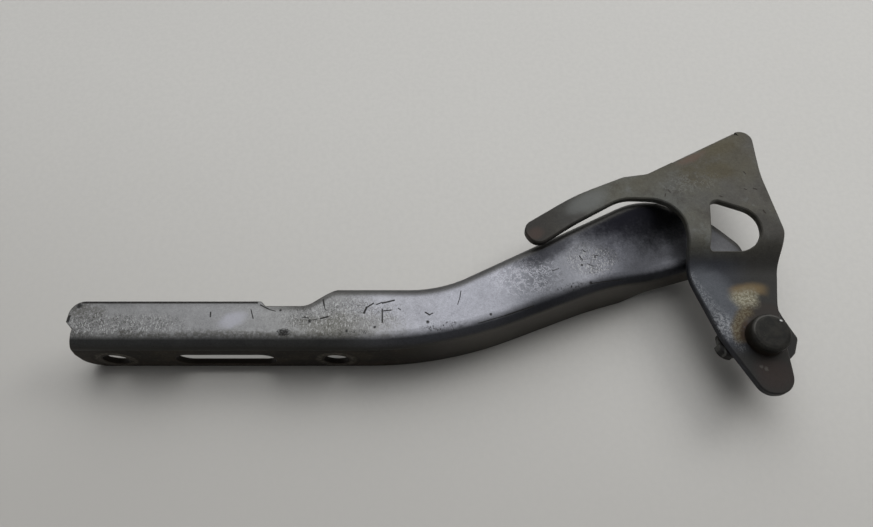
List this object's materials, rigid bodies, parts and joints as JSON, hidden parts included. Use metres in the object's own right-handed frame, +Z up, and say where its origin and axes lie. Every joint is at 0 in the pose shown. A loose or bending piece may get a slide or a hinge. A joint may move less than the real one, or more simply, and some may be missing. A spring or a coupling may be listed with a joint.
{
  "type": "hood hinge",
  "caption": "Vehicle hood hinge: a long pressed arm with a bolt flange turns on a riveted pivot under a stepped body bracket with a side finger and a mounting flange.",
  "frame": {"origin": "on the pivot's axis, at the height of the lower edges of the two flanges that the hinge rests on", "axes": "+Z up along the pivot's axis with the hinge lying on its side, -X along the arm towards the hood bolts, +Y towards the body flange"},
  "size_m": [0.3543, 0.1454, 0.0357],
  "materials": {
    "arm_steel": "thin grey paint, worn and stained",
    "bracket_steel": "thin matt grey paint, worn at the edges",
    "rivet_steel": "dull browned steel",
    "bush_brass": "dull",
    "washer_steel": "dull"
  },
  "bodies": {
    "bracket": {"body_bracket": "bracket_steel", "pivot_rivet": "rivet_steel", "thrust_washer": "washer_steel"},
    "arm": {"hood_arm": "arm_steel", "pivot_bush": "bush_brass"}
  },
  "joints": [
    {"name": "arm_swing", "type": "hinge", "parent": "bracket", "child": "arm", "pos_m": [0, 0, 0.022], "axis": [0, 0, 1], "range_deg": [0, 60]}
  ]
}
